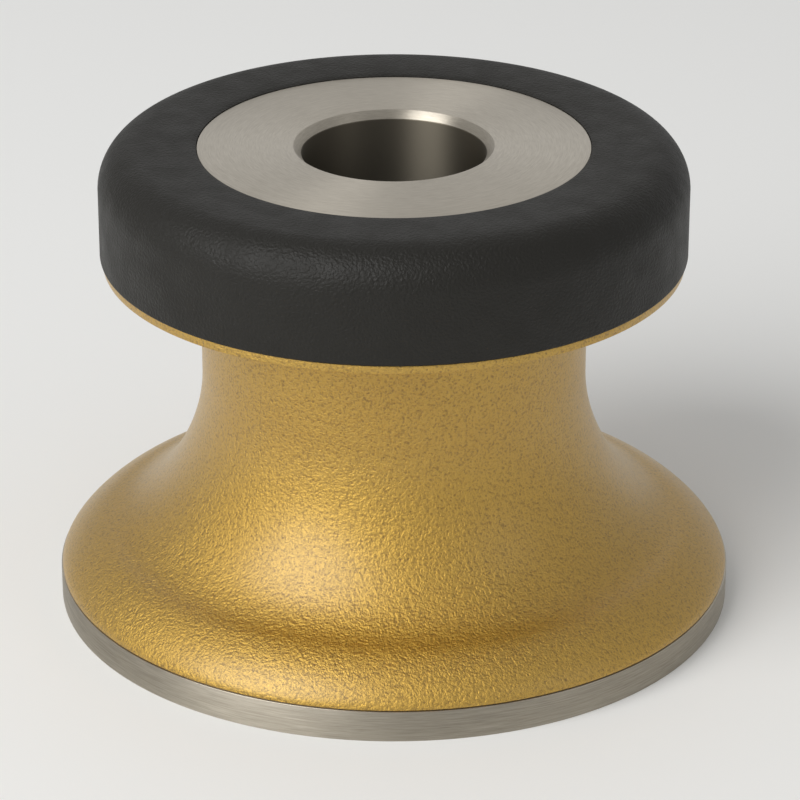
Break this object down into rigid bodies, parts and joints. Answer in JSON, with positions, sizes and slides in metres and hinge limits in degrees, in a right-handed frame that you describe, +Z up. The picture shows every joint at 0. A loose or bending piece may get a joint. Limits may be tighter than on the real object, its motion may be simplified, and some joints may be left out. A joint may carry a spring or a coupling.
{
  "type": "sailboat winch",
  "caption": "Single-speed sailboat winch: waisted grip drum with crown ring and bored cap on a round deck plate, with pawls, roller bearings and star handle socket inside.",
  "frame": {"origin": "centre of the flat underside of the base plate, where it meets the deck", "axes": "+Z up along the drum's axis; +X and +Y square to it, with the deck bolts' circle starting at +Y"},
  "size_m": [0.12, 0.12, 0.0844],
  "materials": {
    "blasted_bronze": "gold-coloured, fine blasted grain",
    "moulded_rubber": "matt black, fine pebbled grain",
    "turned_steel": "turned, fine concentric lathe marks",
    "hardened_steel": "ground",
    "bearing_bronze": "machined",
    "acetal": "moulded",
    "nitrile": "moulded"
  },
  "bodies": {
    "base": {"base_plate": "turned_steel", "stem": "turned_steel", "stem_screw_1": "turned_steel", "stem_screw_2": "turned_steel", "stem_screw_3": "turned_steel", "stem_screw_4": "turned_steel", "bearing_spacer": "acetal", "stem_bush_upper": "bearing_bronze", "stem_bush_lower": "bearing_bronze", "drum_thrust_washer_lower": "acetal", "drum_thrust_washer_upper": "acetal", "spindle_thrust_washer": "bearing_bronze", "stem_circlip": "hardened_steel", "hold_pawl_pin_1": "hardened_steel", "hold_pawl_pin_2": "hardened_steel", "hold_pawl_spring_1": "hardened_steel", "hold_pawl_spring_2": "hardened_steel"},
    "drum": {"drum": "blasted_bronze", "crown_ring": "moulded_rubber", "top_cap": "turned_steel", "cap_seal": "nitrile", "hold_ratchet_ring": "hardened_steel", "drive_ratchet_ring": "hardened_steel", "hold_ring_dowel_1": "hardened_steel", "hold_ring_dowel_2": "hardened_steel", "hold_ring_dowel_3": "hardened_steel", "drive_ring_dowel_1": "hardened_steel", "drive_ring_dowel_2": "hardened_steel", "drive_ring_dowel_3": "hardened_steel"},
    "spindle": {"spindle": "hardened_steel", "drive_pawl_pin_1": "hardened_steel", "drive_pawl_pin_2": "hardened_steel", "drive_pawl_spring_1": "hardened_steel", "drive_pawl_spring_2": "hardened_steel"},
    "hold_pawl_1": {"hold_pawl_1": "bearing_bronze"},
    "hold_pawl_2": {"hold_pawl_2": "bearing_bronze"},
    "drive_pawl_1": {"drive_pawl_1": "bearing_bronze"},
    "drive_pawl_2": {"drive_pawl_2": "bearing_bronze"},
    "lower_cage": {"lower_cage": "acetal"},
    "upper_cage": {"upper_cage": "acetal"},
    "lower_roller_1": {"lower_roller_1": "hardened_steel"},
    "lower_roller_2": {"lower_roller_2": "hardened_steel"},
    "lower_roller_3": {"lower_roller_3": "hardened_steel"},
    "lower_roller_4": {"lower_roller_4": "hardened_steel"},
    "lower_roller_5": {"lower_roller_5": "hardened_steel"},
    "lower_roller_6": {"lower_roller_6": "hardened_steel"},
    "lower_roller_7": {"lower_roller_7": "hardened_steel"},
    "lower_roller_8": {"lower_roller_8": "hardened_steel"},
    "upper_roller_1": {"upper_roller_1": "hardened_steel"},
    "upper_roller_2": {"upper_roller_2": "hardened_steel"},
    "upper_roller_3": {"upper_roller_3": "hardened_steel"},
    "upper_roller_4": {"upper_roller_4": "hardened_steel"},
    "upper_roller_5": {"upper_roller_5": "hardened_steel"},
    "upper_roller_6": {"upper_roller_6": "hardened_steel"},
    "upper_roller_7": {"upper_roller_7": "hardened_steel"},
    "upper_roller_8": {"upper_roller_8": "hardened_steel"}
  },
  "joints": [
    {"name": "drum_spin", "type": "hinge", "parent": "base", "child": "drum", "pos_m": [0, 0, 0.035], "axis": [0, 0, 1], "continuous": true},
    {"name": "spindle_spin", "type": "hinge", "parent": "base", "child": "spindle", "pos_m": [0, 0, 0.035], "axis": [0, 0, 1], "continuous": true},
    {"name": "hold_pawl_1_swing", "type": "hinge", "parent": "base", "child": "hold_pawl_1", "pos_m": [0.036, 0, 0.011], "axis": [0, 0, 1], "range_deg": [0, 12.8], "stiffness_Nm_per_rad": 0.002, "springref_deg": 22.92, "deforming": ["hold_pawl_spring_1"]},
    {"name": "hold_pawl_2_swing", "type": "hinge", "parent": "base", "child": "hold_pawl_2", "pos_m": [-0.036, 0, 0.011], "axis": [0, 0, 1], "range_deg": [0, 12.8], "stiffness_Nm_per_rad": 0.002, "springref_deg": 22.92, "deforming": ["hold_pawl_spring_2"]},
    {"name": "drive_pawl_1_swing", "type": "hinge", "parent": "spindle", "child": "drive_pawl_1", "pos_m": [0, 0.0186, 0.0655], "axis": [0, 0, 1], "range_deg": [0, 15.8], "stiffness_Nm_per_rad": 0.002, "springref_deg": 22.92, "deforming": ["drive_pawl_spring_1"]},
    {"name": "drive_pawl_2_swing", "type": "hinge", "parent": "spindle", "child": "drive_pawl_2", "pos_m": [0, -0.0186, 0.0655], "axis": [0, 0, 1], "range_deg": [0, 15.8], "stiffness_Nm_per_rad": 0.002, "springref_deg": 22.92, "deforming": ["drive_pawl_spring_2"]},
    {"name": "lower_cage_spin", "type": "hinge", "parent": "base", "child": "lower_cage", "pos_m": [0, 0, 0.021], "axis": [0, 0, 1], "continuous": true},
    {"name": "lower_roller_1_spin", "type": "hinge", "parent": "lower_cage", "child": "lower_roller_1", "pos_m": [0.0243, 0, 0.021], "axis": [0, 0, 1], "continuous": true},
    {"name": "lower_roller_2_spin", "type": "hinge", "parent": "lower_cage", "child": "lower_roller_2", "pos_m": [0.01718, 0.01718, 0.021], "axis": [0, 0, 1], "continuous": true},
    {"name": "lower_roller_3_spin", "type": "hinge", "parent": "lower_cage", "child": "lower_roller_3", "pos_m": [0, 0.0243, 0.021], "axis": [0, 0, 1], "continuous": true},
    {"name": "lower_roller_4_spin", "type": "hinge", "parent": "lower_cage", "child": "lower_roller_4", "pos_m": [-0.01718, 0.01718, 0.021], "axis": [0, 0, 1], "continuous": true},
    {"name": "lower_roller_5_spin", "type": "hinge", "parent": "lower_cage", "child": "lower_roller_5", "pos_m": [-0.0243, 0, 0.021], "axis": [0, 0, 1], "continuous": true},
    {"name": "lower_roller_6_spin", "type": "hinge", "parent": "lower_cage", "child": "lower_roller_6", "pos_m": [-0.01718, -0.01718, 0.021], "axis": [0, 0, 1], "continuous": true},
    {"name": "lower_roller_7_spin", "type": "hinge", "parent": "lower_cage", "child": "lower_roller_7", "pos_m": [0, -0.0243, 0.021], "axis": [0, 0, 1], "continuous": true},
    {"name": "lower_roller_8_spin", "type": "hinge", "parent": "lower_cage", "child": "lower_roller_8", "pos_m": [0.01718, -0.01718, 0.021], "axis": [0, 0, 1], "continuous": true},
    {"name": "upper_cage_spin", "type": "hinge", "parent": "base", "child": "upper_cage", "pos_m": [0, 0, 0.047], "axis": [0, 0, 1], "continuous": true},
    {"name": "upper_roller_1_spin", "type": "hinge", "parent": "upper_cage", "child": "upper_roller_1", "pos_m": [0.0243, 0, 0.047], "axis": [0, 0, 1], "continuous": true},
    {"name": "upper_roller_2_spin", "type": "hinge", "parent": "upper_cage", "child": "upper_roller_2", "pos_m": [0.01718, 0.01718, 0.047], "axis": [0, 0, 1], "continuous": true},
    {"name": "upper_roller_3_spin", "type": "hinge", "parent": "upper_cage", "child": "upper_roller_3", "pos_m": [0, 0.0243, 0.047], "axis": [0, 0, 1], "continuous": true},
    {"name": "upper_roller_4_spin", "type": "hinge", "parent": "upper_cage", "child": "upper_roller_4", "pos_m": [-0.01718, 0.01718, 0.047], "axis": [0, 0, 1], "continuous": true},
    {"name": "upper_roller_5_spin", "type": "hinge", "parent": "upper_cage", "child": "upper_roller_5", "pos_m": [-0.0243, 0, 0.047], "axis": [0, 0, 1], "continuous": true},
    {"name": "upper_roller_6_spin", "type": "hinge", "parent": "upper_cage", "child": "upper_roller_6", "pos_m": [-0.01718, -0.01718, 0.047], "axis": [0, 0, 1], "continuous": true},
    {"name": "upper_roller_7_spin", "type": "hinge", "parent": "upper_cage", "child": "upper_roller_7", "pos_m": [0, -0.0243, 0.047], "axis": [0, 0, 1], "continuous": true},
    {"name": "upper_roller_8_spin", "type": "hinge", "parent": "upper_cage", "child": "upper_roller_8", "pos_m": [0.01718, -0.01718, 0.047], "axis": [0, 0, 1], "continuous": true}
  ],
  "couplings": [
    {"joint": "lower_cage_spin", "follows": "drum_spin", "ratio": 0.56174},
    {"joint": "lower_roller_1_spin", "follows": "drum_spin", "ratio": 3.9876},
    {"joint": "lower_roller_2_spin", "follows": "drum_spin", "ratio": 3.9876},
    {"joint": "lower_roller_3_spin", "follows": "drum_spin", "ratio": 3.9876},
    {"joint": "lower_roller_4_spin", "follows": "drum_spin", "ratio": 3.9876},
    {"joint": "lower_roller_5_spin", "follows": "drum_spin", "ratio": 3.9876},
    {"joint": "lower_roller_6_spin", "follows": "drum_spin", "ratio": 3.9876},
    {"joint": "lower_roller_7_spin", "follows": "drum_spin", "ratio": 3.9876},
    {"joint": "lower_roller_8_spin", "follows": "drum_spin", "ratio": 3.9876},
    {"joint": "upper_cage_spin", "follows": "drum_spin", "ratio": 0.56174},
    {"joint": "upper_roller_1_spin", "follows": "drum_spin", "ratio": 3.9876},
    {"joint": "upper_roller_2_spin", "follows": "drum_spin", "ratio": 3.9876},
    {"joint": "upper_roller_3_spin", "follows": "drum_spin", "ratio": 3.9876},
    {"joint": "upper_roller_4_spin", "follows": "drum_spin", "ratio": 3.9876},
    {"joint": "upper_roller_5_spin", "follows": "drum_spin", "ratio": 3.9876},
    {"joint": "upper_roller_6_spin", "follows": "drum_spin", "ratio": 3.9876},
    {"joint": "upper_roller_7_spin", "follows": "drum_spin", "ratio": 3.9876},
    {"joint": "upper_roller_8_spin", "follows": "drum_spin", "ratio": 3.9876}
  ]
}
